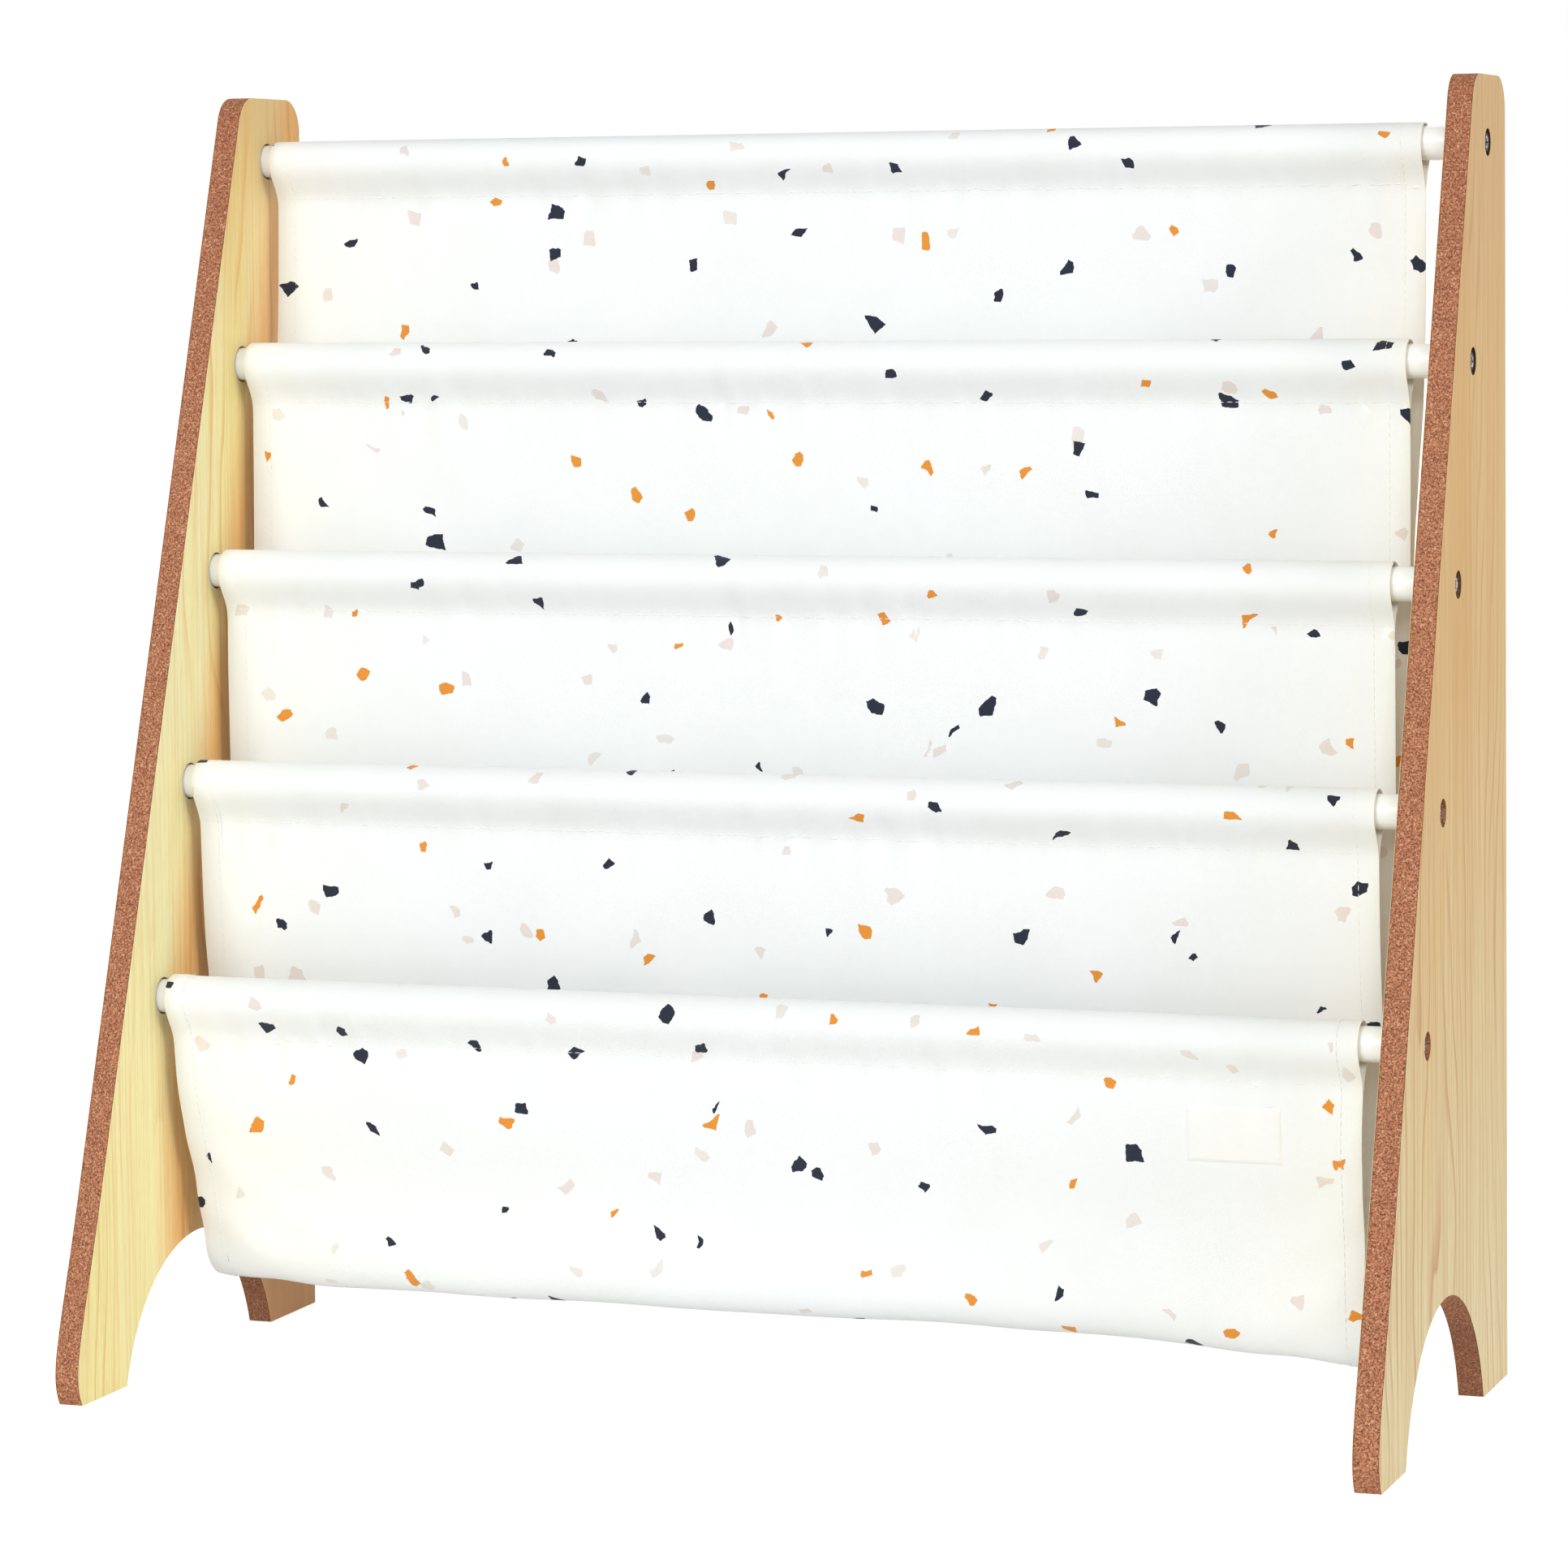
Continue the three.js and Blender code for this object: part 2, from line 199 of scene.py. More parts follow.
floor_mesh = bpy.data.meshes.new("floor")
floor_corners = [(-FLOOR_HALF, -FLOOR_HALF), (FLOOR_HALF, -FLOOR_HALF), (FLOOR_HALF, FLOOR_HALF),
                 (-FLOOR_HALF, FLOOR_HALF)]
floor_mesh.from_pydata([(x, y, -FLOOR_DROP) for x, y in floor_corners], [], [(0, 1, 2, 3)])
floor = bpy.data.objects.new("floor", floor_mesh)
bpy.context.scene.collection.objects.link(floor)
floor_paint = bpy.data.materials.new("floor_paint")
floor_paint.use_nodes = True
floor_tree = Socket(floor_paint.node_tree)
floor_shader = floor_paint.node_tree.nodes["Principled BSDF"]
floor_shader.inputs["Base Color"].default_value = (0.95, 0.95, 0.95, 1)
floor_shader.inputs["Roughness"].default_value = 0.9
floor_shader.inputs["Specular IOR Level"].default_value = 0.0
floor_glow = floor_tree.node("ShaderNodeEmission", None, {"Color": (1, 1, 1, 1), "Strength": FLOOR_GLOW})
floor_mix = floor_tree.node("ShaderNodeMixShader", None, {
    0: seen_directly(floor_tree) * FLOOR_GLOW_SHARE,
    1: Socket(floor_tree.tree, floor_shader.outputs["BSDF"]),
    2: floor_glow,
})
floor_tree.tree.links.new(floor_mix.link, floor_tree.tree.nodes["Material Output"].inputs["Surface"])
floor_mesh.materials.append(floor_paint)


# The side panels are 12 mm fibreboard with pine-look foil on both faces, routed to shape. The cut edges
# are bare: pressed brown fibre, with a thin dark line where the foil ends. The sharp rim is just eased.
PANEL_NODES = ("side_panel_left", "side_panel_right")
TUBE_COUNT = 5
PANEL_RIM = 0.0005
SHARP_ANGLE = math.radians(35)
FOIL_THICKNESS = 0.00015
FOIL_LINE = 0.0007
RINGS_TO_METRE = 72.0
# Painted shade in the bolt bores: the fibre near each tube's axis is painted near black in the upper holes,
# fading out between the two heights below.
BORE_REACH = 0.0085
BORE_SHADE_START_HEIGHT = 0.300
BORE_SHADE_FULL_HEIGHT = 0.440

panel_inner_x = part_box("side_panel_right")[0][0]
panel_outer_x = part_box("side_panel_right")[1][0]
top_tube, low_tube = (
    (Vector(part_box(name)[0]) + Vector(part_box(name)[1])) / 2 for name in ("tube_1", f"tube_{TUBE_COUNT}")
)
tube_lean = (top_tube.y - low_tube.y) / (top_tube.z - low_tube.z)


def finish(name, roughness, **constants):
    """A new material with its constants set on the shader. Gives back material, shader and first socket."""
    material = bpy.data.materials.new(name)
    material.use_nodes = True
    shader = material.node_tree.nodes["Principled BSDF"]
    shader.inputs["Roughness"].default_value = roughness
    for socket, value in constants.items():
        shader.inputs[socket.replace("_", " ")].default_value = value
    return material, shader, Socket(material.node_tree)


def feed(shader, name, value):
    """Links a worked-out value to one of a shader's sockets."""
    value.tree.links.new(value.link, shader.inputs[name])


def bump(height, distance, strength=1.0):
    """The normal of a surface raised by height, from 0 to 1, times distance in metres."""
    values = {"Strength": strength, "Distance": distance, "Height": height}
    return height.node("ShaderNodeBump", None, values)


def dressed(node, material, rim):
    """A finished copy of a CAD node: triangles merged, flat faces rejoined, arcs smooth, rims eased."""
    shape = bmesh.new()
    shape.from_mesh(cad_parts[node].data)
    bmesh.ops.remove_doubles(shape, verts=shape.verts, dist=1e-6)
    bmesh.ops.dissolve_limit(shape, angle_limit=math.radians(0.2), verts=shape.verts, edges=shape.edges)
    mesh = bpy.data.meshes.new(f"{node}_finished")
    shape.to_mesh(mesh)
    shape.free()
    mesh.shade_smooth()
    mesh.set_sharp_from_angle(angle=SHARP_ANGLE)
    mesh.materials.append(material)
    piece = bpy.data.objects.new(f"{node}_finished", mesh)
    bpy.context.scene.collection.objects.link(piece)
    edge = piece.modifiers.new("rim", "BEVEL")
    edge.width = rim
    edge.segments = 2
    edge.limit_method = "ANGLE"
    edge.angle_limit = SHARP_ANGLE
    edge.harden_normals = True
    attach(piece, "root")
    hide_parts(node)
    return piece


def tube_distances(place):
    """How far a place lies behind the slanted plane of the tubes, and from the nearest tube's axis."""
    behind = place.part(1) - place.part(2) * tube_lean - (low_tube.y - low_tube.z * tube_lean)
    step = (top_tube.z - low_tube.z) / (TUBE_COUNT - 1)
    row = (place.part(2) - low_tube.z) * (1.0 / step) + 0.5
    up = (row.math("FRACT", row) - 0.5) * step
    aside = behind + up * tube_lean
    return behind, up.math("SQRT", up * up + aside * aside)


def board_finish():
    """Foil with upright grain on the faces and speckled brown fibre through the board's thickness, with
    light and shade painted into both.
    """
    material, shader, tree = finish("foil_board", 0.5, Specular_IOR_Level=0.35)
    place = tree.node("ShaderNodeTexCoord", output="Object")
    depth = abs(place.part(0)) - panel_inner_x
    thickness = panel_outer_x - panel_inner_x
    from_face = thickness / 2 - abs(depth - thickness / 2)
    is_foil = from_face < FOIL_THICKNESS
    behind_tubes, from_axis = tube_distances(place)

    wander = place.scaled(1.0, 8.0, 2.2).noise(1.0, 3.0)
    rings = place.part(1) * RINGS_TO_METRE + wander * 10.0 + place.part(0) * 7.0
    ring = rings.math("FRACT", rings)
    late = ring.ramp(0.70, 0.94) * (1.0 - ring.ramp(0.94, 0.97))
    shown = place.scaled(1.0, 30.0, 5.0).noise(1.0, 1.0).ramp(0.40, 0.58)
    lines = place.scaled(1.0, 560.0, 7.0).noise(1.0, 2.0, 0.6).ramp(0.44, 0.66)
    pores = place.scaled(1.0, 1500.0, 110.0).noise(1.0, 1.0).ramp(0.50, 0.75)
    broad = place.scaled(1.0, 30.0, 1.6).noise(1.0, 1.0).ramp(0.30, 0.70)
    # Painted light and shade: low makes the foil paler towards the bottom, and high makes it warmer and
    # darker towards the top.
    low = 1.0 - place.part(2).ramp(0.04, 0.34)
    high = place.part(2).ramp(0.46, 0.60)
    # Painted light: the inner faces are painted paler and yellower than the outer faces, though both faces
    # carry one foil.
    is_inner = depth < thickness / 2
    pale = is_inner.between(paint(243, 206, 136), paint(255, 250, 200))
    warm = is_inner.between(paint(238, 190, 112), paint(253, 238, 164))
    streak = is_inner.between(paint(214, 156, 90), paint(240, 188, 106))
    foil = broad.between(pale, warm)
    # Painted light low down and painted shade high up on the foil.
    foil = (low * 0.8).between(foil, is_inner.between(paint(254, 244, 194), paint(253, 243, 172)))
    foil = (high * 0.6).between(foil, is_inner.between(paint(226, 184, 124), paint(236, 184, 104)))
    # Painted shade: behind the plane of the tubes, where the cloth shades them, the inner faces are painted
    # orange, less so towards the back.
    rear = (behind_tubes - (1.0 - place.part(2).ramp(0.0, 0.16)) * 0.048).ramp(-0.004, 0.022)
    painted_warm_shade = rear * is_inner * (0.85 - behind_tubes.ramp(0.06, 0.12) * 0.35)
    foil = painted_warm_shade.between(foil, paint(255, 188, 110))
    # Painted shade: the inner face of the rear foot is painted darker brown near the floor.
    rear_foot_painted_shade = place.part(1).ramp(0.04, 0.08) * (1.0 - place.part(2).ramp(0.03, 0.12)) * is_inner
    foil = (rear_foot_painted_shade * 0.72).between(foil, paint(196, 122, 62))
    # Painted shade: the grain streaks are darker orange there too.
    streak = painted_warm_shade.between(streak, paint(222, 146, 74))
    foil = (late * shown * 0.85).between(foil, streak)
    foil = (lines * (0.44 - is_inner * 0.12)).between(foil, streak)
    foil = (pores * 0.26).between(foil, streak)

    fibre = place.noise(1300.0, 3.0, 0.75)
    clump = place.noise(420.0, 2.0, 0.6)
    fleck = place.noise(900.0, 1.0)
    core = fibre.ramp(0.40, 0.60).between(paint(112, 60, 40), paint(208, 142, 104))
    core = (clump.ramp(0.45, 0.75) * 0.20).between(core, paint(150, 92, 64))
    # Painted shade: the bare fibre is darker towards the top.
    core = (high * 0.22).between(core, paint(132, 68, 42))
    core = (fleck.ramp(0.60, 0.68) * 0.70).between(core, paint(228, 178, 140))
    line = 1.0 - from_face.ramp(FOIL_THICKNESS, FOIL_LINE)
    core = (line * 0.7).between(core, paint(84, 46, 32))
    # Painted shade: the bolt bores are near black in the top two holes, half dark in the middle one and
    # plain in the lower two.
    bore_painted_shade = (from_axis < BORE_REACH) * place.part(2).ramp(BORE_SHADE_START_HEIGHT, BORE_SHADE_FULL_HEIGHT)
    core = (bore_painted_shade * 0.9).between(core, paint(30, 22, 20))
    # Painted shade: the bare fibre inside the arch's rear leg is painted darker near the floor.
    arch_rear_painted_shade = place.part(1).ramp(0.04, 0.06) * (1.0 - place.part(1).ramp(0.095, 0.105))
    arch_rear_painted_shade = arch_rear_painted_shade * (1.0 - place.part(2).ramp(0.03, 0.09))
    core = (arch_rear_painted_shade * 0.5).between(core, paint(96, 60, 42))

    feed(shader, "Base Color", is_foil.between(core, foil))
    feed(shader, "Roughness", 0.85 - is_foil * 0.37)
    height = fibre * (1.0 - is_foil) + (1.0 - lines) * is_foil * 0.12
    feed(shader, "Normal", bump(height, 0.00012))
    return material


board = board_finish()
for panel_node in PANEL_NODES:
    dressed(panel_node, board, PANEL_RIM)


# The tubes are thin steel, 16 mm across, powder-coated white. Their ends stand in blind sockets of the
# panels. The coat is smooth, with the faint waviness that such a coat has.
TUBE_RIM = 0.0003


def coat_finish():
    """White powder coat: a faint wave in the surface and in the gloss."""
    material, shader, tree = finish("powder_coat", 0.3, Coat_Weight=0.2, Coat_Roughness=0.15)
    place = tree.node("ShaderNodeTexCoord", output="Object")
    wave = place.noise(700.0, 2.0)
    dust = place.noise(60.0, 2.0).ramp(0.4, 0.8)
    feed(shader, "Base Color", dust.between(paint(252, 254, 255), paint(246, 249, 251)))
    feed(shader, "Roughness", 0.26 + wave * 0.12)
    feed(shader, "Normal", bump(wave, 0.00004))
    return material


coat = coat_finish()
for number in range(1, TUBE_COUNT + 1):
    dressed(f"tube_{number}", coat, TUBE_RIM)


# Each tube end is closed by a moulded plug with a flange, and a black bolt with a crowned head and a
# hexagon socket is driven through the panel into it. The head lies sunk below the panel's outer face,
# the upper ones a little less deep.
PLUG_RIM = 0.0002
BOLT_RIM = 0.00035
BOLTS_PROUD = (0.0012, 0.0011, 0.0007, 0.0, 0.0)
HEX_RADIUS = 0.0024


def plug_finish():
    """Moulded off-white plastic with a fine sparked grain."""
    material, shader, tree = finish("moulded_plug", 0.55)
    place = tree.node("ShaderNodeTexCoord", output="Object")
    grain = place.noise(2500.0, 2.0)
    feed(shader, "Base Color", grain.between(paint(226, 225, 220), paint(238, 237, 232)))
    feed(shader, "Normal", bump(grain, 0.00003))
    return material


def bolt_finish():
    """Black oxide, rubbed to bare steel round the hexagon socket, where the key has turned."""
    material, shader, tree = finish("black_oxide", 0.5, Specular_IOR_Level=0.25)
    place = tree.node("ShaderNodeTexCoord", output="Object")
    from_axis = tube_distances(place)[1]
    grain = place.noise(900.0, 2.0)
    rubbed = (1.0 - abs(from_axis - HEX_RADIUS).ramp(0.0003, 0.0007)) * grain.ramp(0.40, 0.55)
    feed(shader, "Base Color", rubbed.between(grain.between(paint(26, 26, 28), paint(44, 44, 46)),
                                              paint(225, 222, 218)))
    feed(shader, "Metallic", rubbed)
    feed(shader, "Roughness", 0.55 - rubbed * 0.2)
    feed(shader, "Normal", bump(grain, 0.00003))
    return material


plug_plastic = plug_finish()
black_oxide = bolt_finish()
for side, outward in (("left", -1), ("right", 1)):
    for number in range(1, TUBE_COUNT + 1):
        dressed(f"end_plug_{side}_{number}", plug_plastic, PLUG_RIM)
        bolt = dressed(f"bolt_{side}_{number}", black_oxide, BOLT_RIM)
        bolt.data.transform(Matrix.Translation((outward * BOLTS_PROUD[number - 1], 0.0, 0.0)))


# The sling is one length of off-white canvas printed with scattered stone chips. Its long sides are
# hemmed. From the top tube's sleeve it runs down, turns up to the next tube, over it, and so on: the two
# layers below each tube are sewn together, which makes a sleeve round the tube and a pocket between.
SEAM_BELOW_TUBE = 0.0185
SEAM_ALLOWANCE = 0.0025
LAYER_OFFSET = 0.00045
HALF_CLOTH = 0.0006
SLEEVE_RADIUS = 0.0110
SLEEVE_DROPS = (0.0009, 0.0001, 0.0002, 0.0001, 0.0004)
POCKET_GAP = 0.0003
POCKET_DROP = 0.1434
BELLY_PLACE_SHARES = (0.30, 0.55, 0.86, 1.09)
BELLY_RADIUS_SHARES = (0.29, 0.31, 0.33, 0.67)
HEM_LIFTS = (0.0035, -0.0090)
HEM_PULL = 0.005
END_FLATTEN_SHARE = 0.5
HEM_REACH = 0.150
HEM_WIDTH = 0.011
HEM_FOLD = 0.00025
BEND_SOFTNESS = 0.0034
CHIP_LAYERS = (
    (0.060, 0.0066, (3.37, 8.19, 0.0), 0.0, 0.0),
    (0.056, 0.0054, (5.13, 2.71, 0.0), 0.44, 0.40),
    (0.080, 0.0074, (0.31, 0.77, 0.0), 0.66, 0.34),
)
CLOTH_STEP = 0.0029
CLOTH_CROSS_STEP = 0.0044
GATHER_HEIGHT = 0.0011
GATHER_REACH = 0.016
FOLD_HEIGHT = 0.0016
CORNER_FOLD_HEIGHT = 0.0009
CORNER_FOLD_PITCH = 0.026
WEAVE_PITCH = 0.0009

cloth_left, cloth_right = (float(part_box("sling_sleeve_1")[side][0]) for side in (0, 1))
tube_places = [
    (np.array(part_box(f"tube_{number}")[0]) + np.array(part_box(f"tube_{number}")[1]))[1:] / 2
    for number in range(1, TUBE_COUNT + 1)
]


def sleeve_path(tube, drop):
    """In (y, z), from the seam up behind a tube, round it and down in front: a circle and its two tangents.

    The circle stands drop below the tube's middle. The lowest tube's sleeve runs the other way, so that its
    end is sewn down inside the pocket.

    The tangent from a point at distance d to a circle of radius r touches it where the angle between the
    point and the touching radius is the arc cosine of r / d.
    """
    centre = tube - (0.0, drop)
    tail = np.array((LAYER_OFFSET, drop - SEAM_BELOW_TUBE))
    touch = math.atan2(tail[1], tail[0]) + math.acos(SLEEVE_RADIUS / np.hypot(*tail))
    turn = np.linspace(touch, math.pi - touch, 60)
    loop = centre + SLEEVE_RADIUS * np.column_stack((np.cos(turn), np.sin(turn)))
    seam = np.array((LAYER_OFFSET, -SEAM_BELOW_TUBE))
    end = seam - (0.0, SEAM_ALLOWANCE)
    flip = np.array((-1.0, 1.0))
    path = np.vstack((tube + end, tube + seam, loop, tube + seam * flip, tube + end * flip))
    return path[::-1] if tube is tube_places[-1] else path


def wall_path(seam, foot):
    """In (y, z), a cubic curve that leaves the seam and reaches the foot straight down."""
    middle = (seam[1] + foot[1]) / 2
    share = np.linspace(0, 1, 60)[:, None]
    return ((1 - share) ** 3 * seam + 3 * (1 - share) ** 2 * share * np.array((seam[0], middle))
            + 3 * (1 - share) * share ** 2 * np.array((foot[0], middle)) + share ** 3 * foot)


def pocket_path(index):
    """In (y, z), down a pocket's back wall, round its belly as a half circle, and up its front wall.

    Gives back the path, its depth from 0 at the seams to 1 at the bottom, and the belly's middle in y.
    """
    upper, lower = tube_places[index], tube_places[index + 1]
    step = upper[0] - lower[0]
    below = SEAM_BELOW_TUBE + SEAM_ALLOWANCE + POCKET_GAP
    radius = step * BELLY_RADIUS_SHARES[index] - HALF_CLOTH
    belly = np.array((lower[0] + step * BELLY_PLACE_SHARES[index], lower[1] - POCKET_DROP + radius))
    back = wall_path(upper + (-LAYER_OFFSET, -below), belly + (radius, 0))
    front_offset = -LAYER_OFFSET if lower is tube_places[-1] else LAYER_OFFSET
    front = wall_path(lower + (front_offset, -below), belly - (radius, 0))
    turn = np.linspace(0, -math.pi, 60)[1:-1]
    half = belly + radius * np.column_stack((np.cos(turn), np.sin(turn)))
    depth_seam, depth_low = lower[1] - below, belly[1] - radius
    path = np.vstack((back, half, front[::-1]))
    depth = np.clip((depth_seam - path[:, 1]) / (depth_seam - depth_low), 0, 1)
    return path, depth, np.full(len(path), belly[0])


stretches = []
for index, tube in enumerate(tube_places):
    loop = sleeve_path(tube, SLEEVE_DROPS[index])
    stretches.append((loop, np.zeros(len(loop)), loop[:, 0]))
    if index < TUBE_COUNT - 1:
        stretches.append(pocket_path(index))
rough_path, rough_depth, rough_middle = (np.concatenate(values) for values in zip(*stretches))
rough_length = np.concatenate(([0], np.cumsum(np.hypot(*np.diff(rough_path, axis=0).T))))
sling_length = float(rough_length[-1])


def softened(values, step):
    """A curve's values at even steps, averaged with a bell curve, so that the canvas doesn't crease."""
    reach = int(3 * BEND_SOFTNESS / step)
    bell = np.exp(-0.5 * (np.arange(-reach, reach + 1) * step / BEND_SOFTNESS) ** 2)
    padded = np.pad(values, reach, mode="reflect", reflect_type="odd")
    return np.convolve(padded, bell / bell.sum(), mode="valid")


row_count = int(sling_length / CLOTH_STEP) + 1
row_lengths = np.linspace(0, sling_length, row_count)
fine_lengths = np.linspace(0, sling_length, 6 * row_count)
row_path = np.column_stack([
    np.interp(row_lengths, fine_lengths, softened(np.interp(fine_lengths, rough_length, rough_path[:, part]),
                                                  fine_lengths[1]))
    for part in (0, 1)
])
row_depth = np.interp(row_lengths, rough_length, rough_depth)
row_middle = np.interp(row_lengths, rough_length, rough_middle)
row_along = np.gradient(row_path, axis=0)
row_along /= np.linalg.norm(row_along, axis=1)[:, None]
row_face = np.column_stack((row_along[:, 1], -row_along[:, 0]))


def length_at(tube_index, side):
    """The length along the sling at a tube's seam: side 0 is the layer behind, side 1 the layer in front."""
    start = sum(len(points) for points, depth, middle in stretches[:2 * tube_index])
    loop = len(stretches[2 * tube_index][0])
    return float(rough_length[start + (1 if side == 0 else loop - 2)])


seam_lengths = [(length_at(index, 0), length_at(index, 1)) for index in range(TUBE_COUNT)]


def waves(along, across, lengths, seed):
    """A smooth random height of about -1 to 1: sines of the given wavelengths, in random directions.

    Each sine has the form sin(2 pi (across cos a + along sin a) / wavelength + phase), and the sum is scaled
    by the root of their number.
    """
    chance = np.random.default_rng(seed)
    total = np.zeros(np.broadcast(along, across).shape)
    for wavelength in lengths:
        angle = chance.uniform(-0.7, 0.7)
        phase = chance.uniform(0, 2 * math.pi)
        passed = (across * math.cos(angle) + along * math.sin(angle)) / wavelength
        total += np.sin(2 * math.pi * passed + phase)
    return total / math.sqrt(len(lengths))


def cloth_height(along, across):
    """How far the canvas stands off its smooth path: broad folds in the walls and gathers at the seams.

    The folds fade to nothing at each seam as the squared sine of the share of the wall passed, and the
    gathers fade with distance from the seam as a bell curve.
    """
    marks = np.array([0.0] + [mark for pair in seam_lengths for mark in pair] + [sling_length])
    passed = np.clip(np.searchsorted(marks, along, side="right") - 1, 0, len(marks) - 2)
    share = (along - marks[passed]) / np.maximum(marks[passed + 1] - marks[passed], 1e-6)
    is_wall = np.where(passed % 2 == 0, 1.0, 0.0)
    broad = waves(along, across, (0.31, 0.21, 0.16, 0.12, 0.085), 3)
    broad = FOLD_HEIGHT * broad * is_wall * np.sin(math.pi * np.clip(share, 0, 1)) ** 2
    fine = waves(along * 0.15, across, (0.031, 0.022, 0.016, 0.0125, 0.0095), 8)
    patch = 0.35 + 0.65 * np.clip(waves(along * 0.2, across, (0.37, 0.23, 0.14), 11), 0, 1)
    nearest = np.min([np.abs(along - mark) for mark in marks[1:-1]], axis=0)
    return broad + GATHER_HEIGHT * fine * patch * np.exp(-((nearest / GATHER_REACH) ** 2))


def on_cloth(along, across, lift=0.0):
    """Points on the sling: its path at a length, pushed out by the folds and lift, and drawn by the hems.

    With nearness falling from 1 at an end to 0 at HEM_REACH, the hem draws the cloth in by nearness squared
    times depth, and towards the belly's middle by nearness squared times depth cubed. It lifts the left end
    and lets the right end sag, by nearness to the power 1.4 times depth squared.
    """
    along, across, lift = np.broadcast_arrays(along, across, lift)
    y, z, depth, middle, face_y, face_z = (
        np.interp(along, row_lengths, values)
        for values in (row_path[:, 0], row_path[:, 1], row_depth, row_middle, row_face[:, 0], row_face[:, 1])
    )
    is_left = across < (cloth_left + cloth_right) / 2
    from_end = np.minimum(across - cloth_left, cloth_right - across)
    nearness = np.clip(1 - from_end / HEM_REACH, 0, 1)
    slant = np.cos(2 * math.pi * (0.55 * from_end + 0.84 * z) / CORNER_FOLD_PITCH)
    height = cloth_height(along, across) * (1 - 0.6 * depth ** 2)
    height = height + lift + CORNER_FOLD_HEIGHT * slant * nearness ** 3 * depth
    pull = HEM_PULL * nearness ** 2 * depth
    flatten = END_FLATTEN_SHARE * nearness ** 2 * depth ** 3
    rise = np.where(is_left, *HEM_LIFTS) * nearness ** 1.4 * depth ** 2
    return np.stack((across + np.where(is_left, pull, -pull), y + (middle - y) * flatten + face_y * height,
                     z + face_z * height + rise), axis=-1)


def grid_mesh(name, points, flat=None):
    """A mesh over a grid of points, with its flat places in metres as the UV map if they are given."""
    rows, columns = points.shape[:2]
    corner = np.arange(rows * columns).reshape(rows, columns)
    faces = np.stack((corner[1:, :-1], corner[1:, 1:], corner[:-1, 1:], corner[:-1, :-1]), axis=-1)
    mesh = bpy.data.meshes.new(name)
    mesh.from_pydata(points.reshape(-1, 3), [], faces.reshape(-1, 4).tolist())
    mesh.shade_smooth()
    if flat is not None:
        layer = mesh.uv_layers.new(name="flat")
        corners = np.empty(len(mesh.loops), dtype=np.int32)
        mesh.loops.foreach_get("vertex_index", corners)
        layer.data.foreach_set("uv", flat.reshape(-1, 2)[corners].ravel().astype(np.float32))
    return mesh


def sling_mesh():
    """The canvas with its hems: flat from side to side, round each fold, and the hem's width back behind."""
    flat_count = int((cloth_right - cloth_left) / CLOTH_CROSS_STEP)
    turn = np.linspace(-math.pi / 2, math.pi / 2, 5)[1:-1]
    back = np.linspace(0, HEM_WIDTH, 4)
    right_x = cloth_right - HEM_FOLD + HEM_FOLD * np.cos(turn[::-1])
    right_lift = -HEM_FOLD + HEM_FOLD * np.sin(turn[::-1])
    fold_x = np.concatenate((right_x, cloth_right - HEM_FOLD - back))
    fold_lift = np.concatenate((right_lift, [-2 * HEM_FOLD] * (len(back) - 1), [-0.2 * HEM_FOLD]))
    fold_flat = cloth_right + np.concatenate((np.linspace(0, 1, 3) * HEM_FOLD * 2, HEM_FOLD * 3 + back))
    middle = np.linspace(cloth_left + HEM_FOLD, cloth_right - HEM_FOLD, flat_count)
    mirror = cloth_left + cloth_right
    across = np.concatenate(((mirror - fold_x)[::-1], middle, fold_x))
    lift = np.concatenate((fold_lift[::-1], np.zeros(flat_count), fold_lift))
    flat_across = np.concatenate(((mirror - fold_flat)[::-1], middle, fold_flat))
    points = on_cloth(row_lengths[:, None], across[None, :], lift[None, :])
    flat = np.stack(np.broadcast_arrays(flat_across[None, :], row_lengths[:, None]), axis=-1)
    return grid_mesh("sling", points, flat)


def chips(place, spacing, size, shift):
    """Scattered straight-sided chips, one for each cell of a wide random honeycomb.

    A chip is the cell of a second, small honeycomb that holds the wide cell's own point, drawn in from its
    sides by an amount that differs from chip to chip. Gives back where the chips are, as 0 or 1, and three
    random numbers for each chip.
    """
    moved = place.node("ShaderNodeVectorMath", {"operation": "ADD"}, {0: place, 1: shift})
    flat_cells = {"voronoi_dimensions": "2D"}
    wide = {"Vector": moved, "Scale": 1.0 / spacing, "Randomness": 0.8}
    chance = place.node("ShaderNodeTexVoronoi", flat_cells, wide, output="Color")
    point = place.node("ShaderNodeTexVoronoi", flat_cells, wide, output="Position")
    small = {"Scale": 1.0 / size, "Randomness": 0.85}
    here = place.node("ShaderNodeTexVoronoi", flat_cells, {"Vector": moved, **small}, output="Color")
    there = place.node("ShaderNodeTexVoronoi", flat_cells, {"Vector": point, **small}, output="Color")
    from_side = place.node("ShaderNodeTexVoronoi", flat_cells | {"feature": "DISTANCE_TO_EDGE"},
                           {"Vector": moved, **small}, output="Distance")
    apart = here.node("ShaderNodeVectorMath", {"operation": "DISTANCE"}, {0: here, 1: there}, output="Value")
    return (apart < 0.001) * (from_side > (0.04 + chance.part(1) * 0.12)), chance


